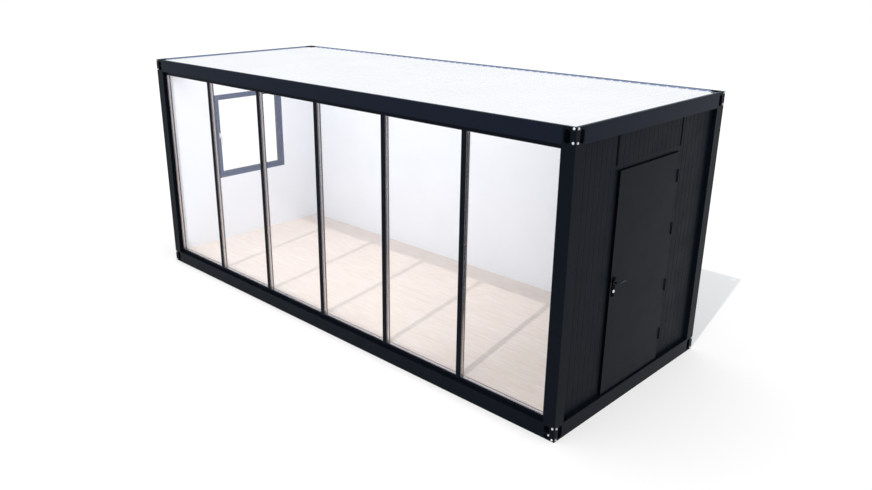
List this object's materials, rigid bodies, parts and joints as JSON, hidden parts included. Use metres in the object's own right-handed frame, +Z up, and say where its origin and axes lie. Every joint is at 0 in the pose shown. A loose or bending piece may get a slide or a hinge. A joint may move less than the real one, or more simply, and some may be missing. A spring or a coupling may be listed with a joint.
{
  "type": "office container",
  "caption": "Flat-pack steel office container with a full glazed front, a door in one end wall, a window in the other, ribbed roof and slotted corner fittings.",
  "frame": {"origin": "on the ground, under the middle of the steel frame", "axes": "+X along the length towards the end wall with the door, -Y towards the glazed front, +Z up"},
  "size_m": [6.039, 2.4, 2.6],
  "materials": {
    "frame_paint": "near-black semi-gloss paint",
    "wall_paint": "near-black coated sheet outside, white sheet inside",
    "roof_coat": "white coated sheet",
    "ceiling_coat": "white coated sheet",
    "galvanised": "galvanised sheet",
    "oak_floor": "pale oak boards",
    "glazing_profile": "near-black powder coat",
    "window_profile": "satin anthracite foil",
    "clear_glass": "clear double glazing",
    "door_paint": "near-black semi-gloss paint",
    "handle_metal": "polished",
    "lever_metal": "satin black",
    "window_handle_coat": "satin light grey"
  },
  "bodies": {
    "container": {"bottom_fittings": "frame_paint", "top_fittings": "frame_paint", "corner_posts": "frame_paint", "bottom_side_rails": "frame_paint", "bottom_end_rails": "frame_paint", "top_side_rails": "frame_paint", "top_end_rails": "frame_paint", "floor_joists": "galvanised", "base_sheet": "galvanised", "floor_board": "oak_floor", "ceiling_panel": "ceiling_coat", "roof_sheet": "roof_coat", "roof_end_flashings": "roof_coat", "roof_corner_caps": "frame_paint", "back_wall_panel_1": "wall_paint", "back_wall_panel_2": "wall_paint", "back_wall_panel_3": "wall_paint", "back_wall_panel_4": "wall_paint", "back_wall_panel_5": "wall_paint", "left_wall_front_panel": "wall_paint", "left_wall_back_panel": "wall_paint", "left_wall_panel_under_window": "wall_paint", "left_wall_panel_over_window": "wall_paint", "door_wall_front_panel": "wall_paint", "door_wall_back_panel": "wall_paint", "door_wall_panel_over_door": "wall_paint", "glazing_frame_1": "glazing_profile", "glazing_frame_2": "glazing_profile", "glazing_frame_3": "glazing_profile", "glazing_frame_4": "glazing_profile", "glazing_frame_5": "glazing_profile", "glazing_frame_6": "glazing_profile", "glazing_panes": "clear_glass", "window_frame": "window_profile", "window_sash": "window_profile", "window_pane": "clear_glass", "window_handle": "window_handle_coat", "door_frame": "door_paint", "door_threshold": "handle_metal", "door_frame_hinges": "door_paint"},
    "door": {"door_leaf": "door_paint", "door_leaf_hinges": "door_paint", "door_handle_plates": "lever_metal", "door_lock_cylinder": "handle_metal"},
    "lever": {"door_lever": "lever_metal"}
  },
  "joints": [
    {"name": "door_swing", "type": "hinge", "parent": "container", "child": "door", "pos_m": [2.986, 0.4765, 1.15], "axis": [0, 0, 1], "range_deg": [0, 110]},
    {"name": "lever_turn", "type": "hinge", "parent": "door", "child": "lever", "pos_m": [2.984, -0.455, 1.2], "axis": [-1, 0, 0], "range_deg": [0, 40], "stiffness_Nm_per_rad": 1.5, "springref_deg": -22.92}
  ]
}
